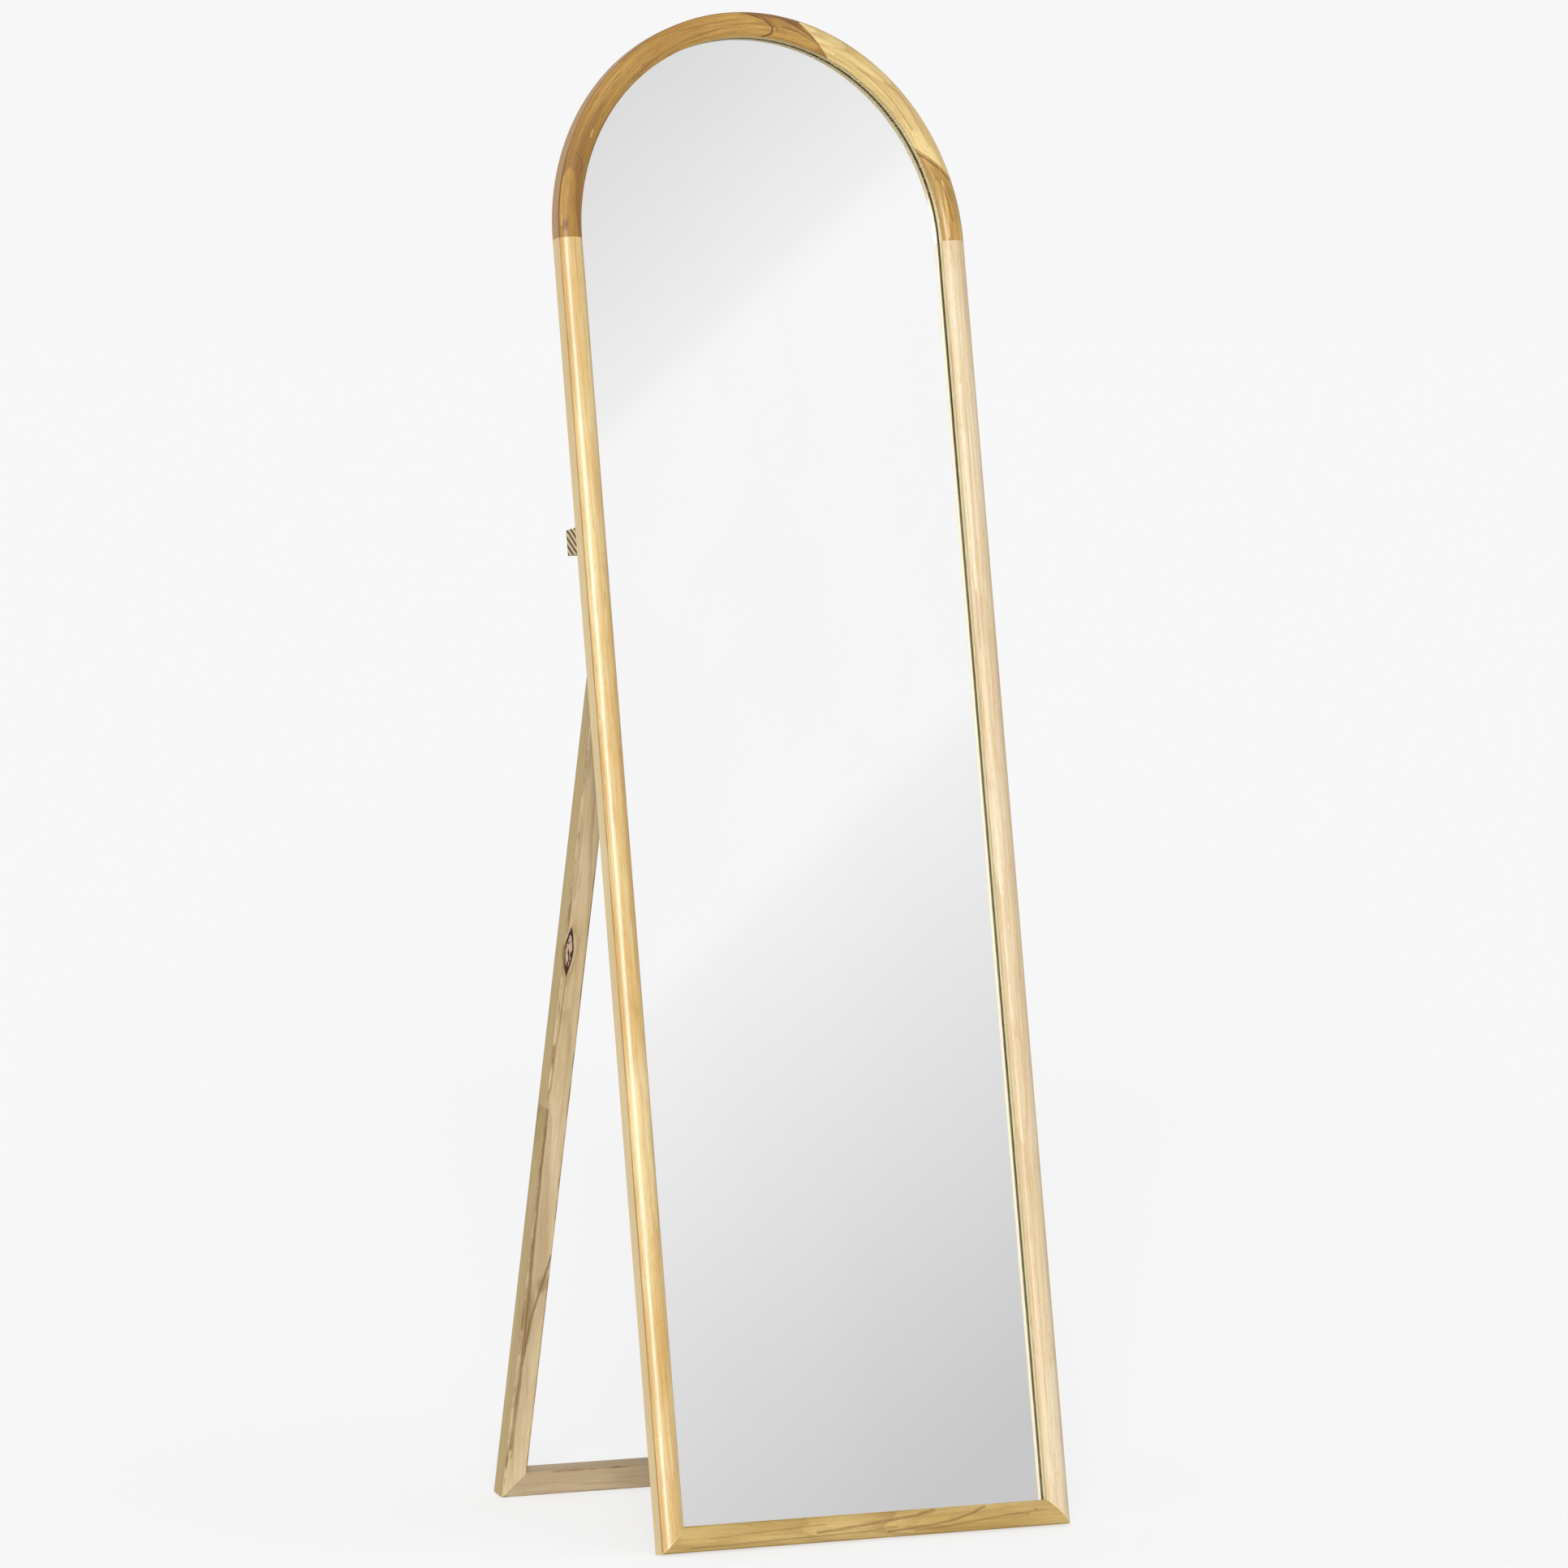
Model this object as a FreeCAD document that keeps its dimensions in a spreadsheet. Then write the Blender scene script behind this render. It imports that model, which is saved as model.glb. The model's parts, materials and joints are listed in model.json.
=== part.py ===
import FreeCAD, Part
import math
import os

import Sketcher

# Arched floor mirror with a hinged easel stand. Millimetres and degrees, +Z up, the glass faces -Y.
# The origin is on the floor, in the middle of the footprint.
#
# Frame pieces are drawn upright: X across, Y = 0 on the frame's back with the crown of the moulding
# towards -Y, Z up from the bottom edge. They lean back together, on the frame's back bottom edge.
# Stand pieces are drawn upright too: Y = 0 on the face towards the frame, Z up from the foot. They lean
# forward together, on the foot rail's front bottom edge.

Vector = FreeCAD.Vector
X_AXIS = Vector(1, 0, 0)
Y_AXIS = Vector(0, 1, 0)

DRIVING = [
    ("frame_width", 460.0),        # outer width, and the diameter of the semicircular top
    ("spring_height", 1291.0),     # bottom edge to the line where the arch springs from the stiles
    ("face_width", 25.4),          # width of the moulding's face
    ("frame_depth", 20.0),         # crown of the moulding to the frame's back
    ("side_arris", 6.5),           # crown to the arris where the dome meets the flat outer side
    ("quirk", 0.8),                # small step beside that arris
    ("glass_front", 11.6),         # crown to the rabbet's shoulder, which the glass bears on
    ("lip_ease", 0.6),             # eased edge of the lip, against the glass
    ("rabbet_width", 8.0),
    ("glass_gap", 1.0),            # room round the glass in the rabbet
    ("glass_thickness", 3.0),
    ("bond_gap", 0.05),            # clear bond between the glass and the film
    ("film_thickness", 0.15),      # silvering, paint and safety film
    ("board_thickness", 2.5),
    ("arch_joint_radius", 214.0),  # where each glue line of the arch crosses the moulding
    ("upper_joint_angle", 69.3),
    ("upper_joint_slope", -49.0),  # direction of a glue line, from its middle to its inner end
    ("lower_joint_angle", 22.6),
    ("lower_joint_slope", 142.0),
    ("joint_reach", 26.0),         # half the length of a glue line's cutting edge
    ("lean_angle", 10.6),          # frame, from upright
    ("open_angle", 23.15),         # between the frame and the open stand
    ("cross_rail_height", 980.0),  # bottom edge of the frame to the cross rail's underside
    ("bar_width", 25.4),           # cross rail, legs and foot rail, across their face
    ("bar_depth", 19.5),
    ("bar_ease", 1.0),             # eased long edges of these bars
    ("stand_width", 387.0),
    ("fold_gap", 0.8),             # between the folded stand and the frame's back
    ("leaf_length", 22.0),
    ("leaf_width", 17.5),          # pin axis to the leaf's free edge
    ("leaf_thickness", 1.0),
    ("closed_gap", 0.6),           # between the two leaves while the stand is open
    ("knuckle_radius", 1.6),
    ("knuckle_setback", 0.75),     # pin axis in front of the frame's back
    ("pin_radius", 0.8),
    ("pin_clearance", 0.05),
    ("knuckle_gap", 0.3),
    ("dowel_radius", 3.0),
    ("spring_dowel_length", 40.0),
    ("corner_dowel_radius", 2.5),
    ("corner_dowel_length", 24.0),
    ("nail_leg", 6.0),             # V-shaped nails in the mitres of the frame
    ("nail_thickness", 0.6),
    ("nail_depth", 8.0),
    ("point_length", 10.0),        # steel points that hold the backing board
    ("point_width", 8.0),
    ("point_thickness", 0.4),
    ("point_grip", 4.5),
    ("rail_screw_head", 3.8),      # screws through the cross rail into the stiles
    ("rail_screw_head_height", 2.2),
    ("rail_screw_recess", 1.4),
    ("rail_screw_radius", 2.0),
    ("rail_screw_length", 32.0),
    ("leaf_screw_head", 2.1),
    ("leaf_screw_recess", 0.7),
    ("leaf_screw_radius", 1.1),
    ("leaf_screw_length", 13.0),
]

DOWEL_DEPTH = 8.0           # frame's back to the spring-line dowels' axis
POINT_HEIGHTS = (140.0, 420.0, 700.0, 1080.0)
POINT_OFFSETS = (-105.0, 105.0)
POINT_ANGLES = (45.0, 90.0, 135.0)
NAIL_INSETS = (3.0, 9.5)    # along both sides of the corner
CORNER_DOWEL_DEPTHS = (5.5, 14.0)
RAIL_SCREW_HEIGHTS = (7.0, 18.4)
LEAF_SCREW_SPREAD = 6.5
LEAF_SCREW_REACH = 12.5     # pin axis to the leaf screws
SCREW_POINT = 2.5           # length of a screw's point, in shank radii
CROSS_ARM = 0.62            # reach of the cross recess in a screw's head, in head radii
CROSS_WEB = 0.16            # half the width of its arms
SPARE = 5                   # how far a cutting outline runs past the wood
SIDES = (("left", -1), ("right", 1))

size = dict(DRIVING)


def derived_sizes():
    """Sizes that follow from the driving ones."""
    lean = math.radians(size["lean_angle"])
    stand_lean_angle = size["open_angle"] - size["lean_angle"]
    stand_lean = math.radians(stand_lean_angle)
    opening = math.radians(size["open_angle"])

    dome_rise = size["side_arris"] - size["quirk"]
    dome_half = (size["face_width"] - size["quirk"]) / 2
    dome_radius = (dome_half ** 2 + dome_rise ** 2) / (2 * dome_rise)
    dome_middle = size["quirk"] + dome_half

    # The hinge pin, first in the upright frame and then where the leaning frame puts it.
    pin_y = -size["knuckle_setback"]
    pin_z = size["cross_rail_height"] - size["leaf_thickness"] - size["closed_gap"] / 2
    world_pin_y = pin_y * math.cos(lean) + pin_z * math.sin(lean)
    world_pin_z = pin_z * math.cos(lean) - pin_y * math.sin(lean)

    # The same pin in the upright stand, whose eased foot edge rests on the floor.
    stand_pin_y = pin_y - size["fold_gap"]
    rest_edge = size["bar_ease"]
    stand_pin_z = (world_pin_z + (rest_edge - stand_pin_y) * math.sin(stand_lean)) / math.cos(stand_lean)
    foot_z = -rest_edge * math.sin(stand_lean)
    foot_y = world_pin_y - stand_pin_y * math.cos(stand_lean) + stand_pin_z * math.sin(stand_lean)

    # The leg's top is bevelled, so that the open hinge leaf lies flat between the leg and the rail.
    below_pin = size["closed_gap"] / 2 + size["leaf_thickness"]
    top_front = stand_pin_z - (below_pin - stand_pin_y * math.sin(opening)) / math.cos(opening)

    front = (dome_radius - size["frame_depth"]) * math.cos(lean) + dome_middle * math.sin(lean) - dome_radius
    back = foot_y + size["bar_depth"] * math.cos(stand_lean) - size["bar_ease"] * math.sin(stand_lean)
    return {
        "stand_lean_angle": stand_lean_angle,
        "dome_radius": dome_radius,
        "pin_y": pin_y,
        "pin_z": pin_z,
        "stand_pin_z": stand_pin_z,
        "leg_top": top_front,
        "foot_y": foot_y,
        "foot_z": foot_z,
        "origin_y": -(front + back) / 2,
    }


size.update(derived_sizes())
doc = FreeCAD.newDocument("arched_floor_mirror")
sheet = doc.addObject("Spreadsheet::Sheet", "dim")
for row, (alias, value) in enumerate(size.items(), start=1):
    sheet.set("A%d" % row, alias)
    sheet.set("B%d" % row, repr(value))
    sheet.setAlias("B%d" % row, alias)
doc.recompute()

FRAME_PLACEMENT = FreeCAD.Placement(
    Vector(0, size["origin_y"], 0),
    FreeCAD.Rotation(X_AXIS, -size["lean_angle"]),
)
STAND_PLACEMENT = FreeCAD.Placement(
    Vector(0, size["origin_y"] + size["foot_y"], size["foot_z"]),
    FreeCAD.Rotation(X_AXIS, size["stand_lean_angle"]),
)
NODES = {}


# ---- helpers -------------------------------------------------------------------------------------

def moved(x=0.0, y=0.0, z=0.0, axis=X_AXIS, angle=0.0):
    """Placement at a point, turned about an axis."""
    return FreeCAD.Placement(Vector(x, y, z), FreeCAD.Rotation(axis, angle))


def add_node(label, feature):
    """Give a finished sub-part its label and keep it for the export."""
    feature.Label = label
    NODES[label] = feature
    return feature


def value_of(owner, expression):
    """Number that a sheet expression gives."""
    result = owner.evalExpression(expression)
    return float(getattr(result, "Value", result))


def new_body(name, placement):
    body = doc.addObject("PartDesign::Body", name)
    body.Placement = placement
    return body


def origin_plane(body, role):
    return [f for f in body.Origin.OriginFeatures if f.Role == role][0]


def nearest_end(sketch, geometry, point):
    """Which end of a sketch curve, 1 or 2, lies at a point."""
    return min((1, 2), key=lambda end: sketch.getPoint(geometry, end).distanceToPoint(point))


def outline_sketch(body, role, name, corners, dome=None):
    """Closed outline on an origin plane; each corner is a pair of sheet expressions.

    dome, if given, holds the corner that an arc starts from, the arc's middle point, and the
    constraint that fixes its centre along the axis it bulges in.
    """
    sketch = body.newObject("Sketcher::SketchObject", name)
    sketch.AttachmentSupport = (origin_plane(body, role), [""])
    sketch.MapMode = "FlatFace"
    points = [Vector(value_of(sketch, x), value_of(sketch, y), 0) for x, y in corners]
    count = len(points)
    for i, start in enumerate(points):
        end = points[(i + 1) % count]
        if dome and dome["from"] == i:
            middle = Vector(*[value_of(sketch, e) for e in dome["middle"]], 0)
            sketch.addGeometry(Part.Arc(start, middle, end))
        else:
            sketch.addGeometry(Part.LineSegment(start, end))
    for i in range(count):
        following = (i + 1) % count
        corner = points[following]
        ends = (nearest_end(sketch, i, corner), nearest_end(sketch, following, corner))
        sketch.addConstraint(Sketcher.Constraint("Coincident", i, ends[0], following, ends[1]))
    for i, point in enumerate(points):
        end = nearest_end(sketch, i, point)
        for kind, expression in zip(("DistanceX", "DistanceY"), corners[i]):
            bind(sketch, kind, i, end, expression)
    if dome:
        bind(sketch, dome["kind"], dome["from"], 3, dome["centre"])
    return sketch


def bind(sketch, kind, geometry, end, expression):
    """Hold a point of a sketch at a distance from its origin that the sheet gives."""
    constraint = Sketcher.Constraint(kind, -1, 1, geometry, end, value_of(sketch, expression))
    index = sketch.addConstraint(constraint)
    sketch.setExpression("Constraints[%d]" % index, expression)


def pad(body, sketch, length, symmetric=False):
    feature = body.newObject("PartDesign::Pad", sketch.Name + "_pad")
    feature.Profile = sketch
    feature.SideType = "Symmetric" if symmetric else "One side"
    feature.setExpression("Length", length)
    sketch.Visibility = False
    doc.recompute()
    return feature


def pocket(body, sketch, depth=None):
    """Cut an outline out of a body, right through both ways unless a depth is given."""
    before = body.Shape.Volume
    feature = body.newObject("PartDesign::Pocket", sketch.Name + "_cut")
    feature.Profile = sketch
    if depth is None:
        feature.Type = "ThroughAll"
        feature.SideType = "Symmetric"
    else:
        feature.setExpression("Length", depth)
    doc.recompute()
    if not body.Shape.Volume < before:
        raise RuntimeError("%s cuts nothing" % feature.Name)
    return feature


def revolve(body, sketch, angle, upward=False):
    feature = body.newObject("PartDesign::Revolution", sketch.Name + "_turn")
    feature.Profile = sketch
    feature.ReferenceAxis = (sketch, ["V_Axis"])
    feature.Angle = angle
    feature.Reversed = upward
    doc.recompute()
    return feature


def box(name, length, width, height, placement):
    """Block with its sizes along X, Y and Z bound to the sheet."""
    feature = doc.addObject("Part::Box", name)
    for key, expression in (("Length", length), ("Width", width), ("Height", height)):
        feature.setExpression(key, expression)
    feature.Placement = placement
    return feature


def cylinder(name, radius, height, placement):
    feature = doc.addObject("Part::Cylinder", name)
    feature.setExpression("Radius", radius)
    feature.setExpression("Height", height)
    feature.Placement = placement
    return feature


def fuse(name, shapes):
    feature = doc.addObject("Part::MultiFuse", name)
    feature.Shapes = shapes
    feature.Refine = True
    return feature


def cut(name, base, tool):
    feature = doc.addObject("Part::Cut", name)
    feature.Base = base
    feature.Tool = tool
    doc.recompute()
    if not feature.Shape.Volume < base.Shape.Volume:
        raise RuntimeError("%s cuts nothing" % name)
    return feature


def group(name, features):
    """Several solids as one sub-part."""
    feature = doc.addObject("Part::Compound", name)
    feature.Links = features
    doc.recompute()
    return feature


def copies(name, source, placements):
    """The same piece at several places, as one sub-part of separate solids."""
    links = []
    for i, placement in enumerate(placements, start=1):
        link = doc.addObject("App::Link", "%s_%d" % (name, i))
        link.LinkedObject = source
        link.Placement = placement
        links.append(link)
    return group(name, links)


# ---- the frame's moulding ------------------------------------------------------------------------

# Section of the moulding: distance from its outer side, and depth behind its crown.
MOULDING = [
    ("0", "dim.frame_depth"),
    ("0", "dim.side_arris"),
    ("dim.quirk", "dim.side_arris"),
    ("dim.quirk", "dim.side_arris - dim.quirk"),
    ("dim.face_width", "dim.side_arris - dim.quirk"),
    ("dim.face_width", "dim.glass_front - dim.lip_ease"),
    ("dim.face_width - dim.lip_ease", "dim.glass_front"),
    ("dim.face_width - dim.rabbet_width", "dim.glass_front"),
    ("dim.face_width - dim.rabbet_width", "dim.frame_depth"),
]
DOME_START = 3
DOME_MIDDLE = ("(dim.quirk + dim.face_width) / 2", "0")
DOME_CENTRE_DEPTH = "dim.dome_radius"


def upright_moulding(body, name, side):
    """Section on the XY plane, for a moulding whose outer side is at half the frame's width."""
    def across(distance):
        return "%d * (dim.frame_width / 2 - (%s))" % (side, distance)

    def deep(depth):
        return "(%s) - dim.frame_depth" % depth

    corners = [(across(t), deep(w)) for t, w in MOULDING]
    dome = {
        "from": DOME_START,
        "middle": (across(DOME_MIDDLE[0]), deep(DOME_MIDDLE[1])),
        "kind": "DistanceY",
        "centre": deep(DOME_CENTRE_DEPTH),
    }
    return outline_sketch(body, "XY_Plane", name, corners, dome)


def level_moulding(body, name):
    """Section on the YZ plane, for the bottom rail, whose outer side is its underside."""
    def deep(depth):
        return "(%s) - dim.frame_depth" % depth

    corners = [(deep(w), t) for t, w in MOULDING]
    dome = {
        "from": DOME_START,
        "middle": (deep(DOME_MIDDLE[1]), DOME_MIDDLE[0]),
        "kind": "DistanceX",
        "centre": deep(DOME_CENTRE_DEPTH),
    }
    return outline_sketch(body, "YZ_Plane", name, corners, dome)


def mitre(body, side, half_width, face, keep):
    """Cut a body at 45 degrees at a bottom corner; keep is "upright" or "level"."""
    outer_x = "%d * (%s + %d)" % (side, half_width, SPARE)
    inner_x = "%d * (%s - %s - %d)" % (side, half_width, face, SPARE)
    low_z = "-%d" % SPARE
    high_z = "%s + %d" % (face, SPARE)
    third = (inner_x, low_z) if keep == "upright" else (outer_x, high_z)
    name = "%s_mitre_%s" % (body.Name, "left" if side < 0 else "right")
    sketch = outline_sketch(body, "XZ_Plane", name, [(outer_x, low_z), (inner_x, high_z), third])
    pocket(body, sketch)


def stile(name, side):
    body = new_body(name, FRAME_PLACEMENT)
    pad(body, upright_moulding(body, name + "_section", side), "dim.spring_height")
    mitre(body, side, "dim.frame_width / 2", "dim.face_width", "upright")
    return body


def bottom_rail():
    body = new_body("bottom_rail_bar", FRAME_PLACEMENT)
    pad(body, level_moulding(body, "bottom_rail_section"), "dim.frame_width", symmetric=True)
    for _, side in SIDES:
        mitre(body, side, "dim.frame_width / 2", "dim.face_width", "level")
    return body


def joint_end(joint, sign):
    """Inner ("+") or outer ("-") end of a glue line's cutting edge, from the arch's centre."""
    return tuple(
        "dim.arch_joint_radius * %s(dim.%s_joint_angle) %s dim.joint_reach * %s(dim.%s_joint_slope)"
        % (wave, joint, sign, wave, joint)
        for wave in ("cos", "sin")
    )


def arch_segment(name, start=None, end=None):
    """Half ring of moulding, less what lies before its first glue line and beyond its last one."""
    body = new_body(name, FRAME_PLACEMENT * moved(z=size["spring_height"]))
    revolve(body, upright_moulding(body, name + "_section", 1), 180, upward=True)
    far = "dim.frame_width"
    low = "-%d" % SPARE
    before = [(far, far), ("-" + far, far), ("-" + far, low), ("0", low)]
    beyond = [(far, far), (far, low), ("0", low)]
    for joint, rest in ((start, before), (end, beyond)):
        if joint is None:
            continue
        outline = [joint_end(joint, "+"), joint_end(joint, "-")] + rest
        pocket(body, outline_sketch(body, "XZ_Plane", "%s_%s" % (name, joint), outline))
    return body


# ---- glazing -------------------------------------------------------------------------------------

def arched_sheet(name, front_depth, thickness):
    """Flat sheet that fills the rabbet: a rectangle with a semicircular top."""
    radius = "dim.frame_width / 2 - dim.face_width + dim.rabbet_width - dim.glass_gap"
    half = value_of(sheet, radius)
    bottom = size["frame_width"] / 2 - half
    front = front_depth - size["frame_depth"]
    body = box(
        name + "_body",
        "2 * (%s)" % radius,
        thickness,
        "dim.spring_height - dim.frame_width / 2 + %s" % radius,
        FRAME_PLACEMENT * moved(-half, front, bottom),
    )
    top_placement = FRAME_PLACEMENT * moved(0, front, size["spring_height"], X_AXIS, -90)
    top = cylinder(name + "_top", radius, thickness, top_placement)
    return fuse(name, [body, top])


def film_front():
    return size["glass_front"] + size["glass_thickness"] + size["bond_gap"]


def board_front():
    return film_front() + size["film_thickness"]


def board_points():
    """Steel points pressed into the rabbet's wall, over the back of the board."""
    wall = size["frame_width"] / 2 - size["face_width"] + size["rabbet_width"]
    start = wall + size["point_grip"] - size["point_length"]
    board_back = board_front() + size["board_thickness"] - size["frame_depth"]
    blank_placement = moved(start, board_back, -size["point_width"] / 2)
    blank = box("point_blank", "dim.point_length", "dim.point_thickness", "dim.point_width", blank_placement)
    turned_blank = group("point_blank_turned", [blank])
    places = [moved(z=z, axis=Y_AXIS, angle=turn) for z in POINT_HEIGHTS for turn in (0, 180)]
    places += [moved(x=x, z=size["frame_width"] / 2, axis=Y_AXIS, angle=90) for x in POINT_OFFSETS]
    places += [moved(z=size["spring_height"], axis=Y_AXIS, angle=-turn) for turn in POINT_ANGLES]
    return copies("board_points", turned_blank, [FRAME_PLACEMENT * place for place in places])


# ---- joinery inside the frame --------------------------------------------------------------------

def spring_joint_dowels():
    """One dowel across each butt joint between a stile and the arch."""
    dowel = cylinder("spring_dowel", "dim.dowel_radius", "dim.spring_dowel_length", moved())
    middle = (size["frame_width"] - size["face_width"] + size["rabbet_width"]) / 2
    low = size["spring_height"] - size["spring_dowel_length"] / 2
    places = [FRAME_PLACEMENT * moved(side * middle, -DOWEL_DEPTH, low) for _, side in SIDES]
    return copies("spring_joint_dowels", dowel, places)


def corner_nails():
    """V-shaped nails, driven from the back across the bottom mitres."""
    body = new_body("corner_nail", moved())
    leg = "dim.nail_leg"
    thin = "dim.nail_thickness"
    corners = [("0", "0"), (leg, "0"), (leg, thin), (thin, thin), (thin, leg), ("0", leg)]
    pad(body, outline_sketch(body, "XZ_Plane", "corner_nail_outline", corners), "dim.nail_depth")
    half = size["frame_width"] / 2
    places = []
    for inset in NAIL_INSETS:
        places.append(FRAME_PLACEMENT * moved(inset - half, 0, inset))
        places.append(FRAME_PLACEMENT * moved(half - inset, 0, inset, Y_AXIS, -90))
    return copies("corner_v_nails", body, places)


def screw_blank(name, kind, head_height):
    """Countersunk screw that points down from the origin, with no recess: also the hole it fills."""
    head, shank, length = ("dim.%s_screw_%s" % (kind, part) for part in ("head", "radius", "length"))
    body = new_body(name, moved())
    taper = "%s - %g * %s" % (length, SCREW_POINT, shank)
    corners = [("0", "0"), (head, "0"), (shank, "-" + head_height), (shank, "-(%s)" % taper)]
    corners.append(("0", "-" + length))
    revolve(body, outline_sketch(body, "XZ_Plane", name + "_half", corners), 360)
    return body


def wood_screw(name, kind, head_height):
    """The screw itself, with its cross recess."""
    body = screw_blank(name, kind, head_height)
    arm = "dim.%s_screw_head * %g" % (kind, CROSS_ARM)
    web = "dim.%s_screw_head * %g" % (kind, CROSS_WEB)
    cross = [
        (arm, web), (web, web), (web, arm), ("-" + web, arm), ("-" + web, web), ("-" + arm, web),
        ("-" + arm, "-" + web), ("-" + web, "-" + web), ("-" + web, "-" + arm), (web, "-" + arm),
        (web, "-" + web), (arm, "-" + web),
    ]
    pocket(body, outline_sketch(body, "XY_Plane", name + "_cross", cross), "dim.%s_screw_recess" % kind)
    return body


def cross_rail_screws(name, screw):
    """Two screws through each end of the cross rail, into the stiles."""
    middle = (size["frame_width"] - size["face_width"] + size["rabbet_width"]) / 2
    places = []
    for _, side in SIDES:
        for height in RAIL_SCREW_HEIGHTS:
            spot = moved(side * middle, size["bar_depth"], size["cross_rail_height"] + height, X_AXIS, -90)
            places.append(FRAME_PLACEMENT * spot)
    return copies(name, screw, places)


# ---- square bars: cross rail and stand -----------------------------------------------------------

def eased_section(body, role, name, first, second):
    """Rectangle with chamfered corners between two pairs of low and high limits."""
    ease = "dim.bar_ease"
    a_low, a_high = first
    b_low, b_high = second
    corners = [
        ("%s + %s" % (a_low, ease), b_low), ("%s - %s" % (a_high, ease), b_low),
        (a_high, "%s + %s" % (b_low, ease)), (a_high, "%s - %s" % (b_high, ease)),
        ("%s - %s" % (a_high, ease), b_high), ("%s + %s" % (a_low, ease), b_high),
        (a_low, "%s - %s" % (b_high, ease)), (a_low, "%s + %s" % (b_low, ease)),
    ]
    return outline_sketch(body, role, name, corners)


def cross_rail():
    body = new_body("cross_rail_bar", FRAME_PLACEMENT)
    heights = ("dim.cross_rail_height", "dim.cross_rail_height + dim.bar_width")
    section = eased_section(body, "YZ_Plane", "cross_rail_section", ("0", "dim.bar_depth"), heights)
    pad(body, section, "dim.frame_width", symmetric=True)
    return body


def stand_leg(name, side):
    """Leg with a mitred foot and a top bevelled to the hinge's open angle."""
    body = new_body(name, STAND_PLACEMENT)
    outer = "dim.stand_width / 2"
    inner = "(dim.stand_width / 2 - dim.bar_width)"
    limits = (inner, outer) if side > 0 else ("-" + outer, "-" + inner)
    section = eased_section(body, "XY_Plane", name + "_section", limits, ("0", "dim.bar_depth"))
    pad(body, section, "dim.leg_top + dim.bar_width")
    mitre(body, side, outer, "dim.bar_width", "upright")
    front = "-%d" % SPARE
    back = "dim.bar_depth + %d" % SPARE
    front_z = "dim.leg_top + %d * tan(dim.open_angle)" % SPARE
    back_z = "dim.leg_top - (%s) * tan(dim.open_angle)" % back
    high = "dim.leg_top + dim.bar_width * 2"
    corners = [(front, front_z), (back, back_z), (back, high), (front, high)]
    pocket(body, outline_sketch(body, "YZ_Plane", name + "_bevel", corners))
    return body


def stand_foot_rail():
    body = new_body("stand_foot_rail_bar", STAND_PLACEMENT)
    heights = ("0", "dim.bar_width")
    section = eased_section(body, "YZ_Plane", "foot_rail_section", ("0", "dim.bar_depth"), heights)
    pad(body, section, "dim.stand_width", symmetric=True)
    for _, side in SIDES:
        mitre(body, side, "dim.stand_width / 2", "dim.bar_width", "level")
    return body


def stand_corner_dowels():
    """Two dowels square to each mitre of the stand."""
    dowel = cylinder("corner_dowel", "dim.corner_dowel_radius", "dim.corner_dowel_length", moved())
    middle = size["bar_width"] / 2
    step = size["corner_dowel_length"] / 2 * math.sqrt(0.5)
    places = []
    for _, side in SIDES:
        for depth in CORNER_DOWEL_DEPTHS:
            x = side * (size["stand_width"] / 2 - middle + step)
            spot = moved(x, depth, middle + step, Y_AXIS, side * -135)
            places.append(STAND_PLACEMENT * spot)
    return copies("stand_corner_dowels", dowel, places)


# ---- hinges --------------------------------------------------------------------------------------

def pin_line(side, x=0.0, y=0.0, z=0.0, axis=X_AXIS, angle=0.0):
    """Placement seen from the middle of one hinge's pin, in the leaning frame."""
    middle = side * (size["stand_width"] - size["bar_width"]) / 2
    spot = moved(middle, size["pin_y"], size["pin_z"])
    return FRAME_PLACEMENT * spot * moved(x, y, z, axis, angle)


def hinge_leaf(name, side, fixed):
    """Leaf of a butt hinge, closed: the fixed leaf lies above the pin and carries the outer knuckles."""
    length = size["leaf_length"]
    third = length / 3
    gap = size["knuckle_gap"]
    plate_z = size["closed_gap"] / 2 if fixed else -size["closed_gap"] / 2 - size["leaf_thickness"]
    plate_spot = pin_line(side, -length / 2, 0, plate_z)
    plate = box(name + "_plate", "dim.leaf_length", "dim.leaf_width", "dim.leaf_thickness", plate_spot)
    outer_length = "dim.leaf_length / 3 - dim.knuckle_gap"
    if fixed:
        knuckles = [(-length / 2, outer_length), (third / 2 + gap, outer_length)]
        clear = [(-third / 2 - gap, "dim.leaf_length / 3 + 2 * dim.knuckle_gap")]
    else:
        knuckles = [(-third / 2, "dim.leaf_length / 3")]
        clear = [(-length / 2 - gap, "dim.leaf_length / 3 + dim.knuckle_gap")]
        clear.append((third / 2, "dim.leaf_length / 3 + dim.knuckle_gap"))
    barrels = []
    for i, (x, span) in enumerate(knuckles):
        spot = pin_line(side, x, axis=Y_AXIS, angle=90)
        barrels.append(cylinder("%s_knuckle_%d" % (name, i), "dim.knuckle_radius", span, spot))
    slots = []
    for i, (x, span) in enumerate(clear):
        spot = pin_line(side, x, -size["knuckle_radius"], -size["leaf_width"] / 2)
        reach = "2 * dim.knuckle_radius + dim.knuckle_gap"
        slots.append(box("%s_slot_%d" % (name, i), span, reach, "dim.leaf_width", spot))
    radius = "dim.pin_radius" if fixed else "dim.pin_radius + dim.pin_clearance"
    bore_spot = pin_line(side, -length, axis=Y_AXIS, angle=90)
    bore = cylinder(name + "_bore", radius, "2 * dim.leaf_length", bore_spot)
    notched = cut(name + "_notched", plate, group(name + "_slots", slots))
    return cut(name + "_bored", fuse(name + "_whole", [notched] + barrels), bore)


def hinge_pin(name, side):
    spot = pin_line(side, -size["leaf_length"] / 2, axis=Y_AXIS, angle=90)
    return cylinder(name, "dim.pin_radius", "dim.leaf_length", spot)


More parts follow.
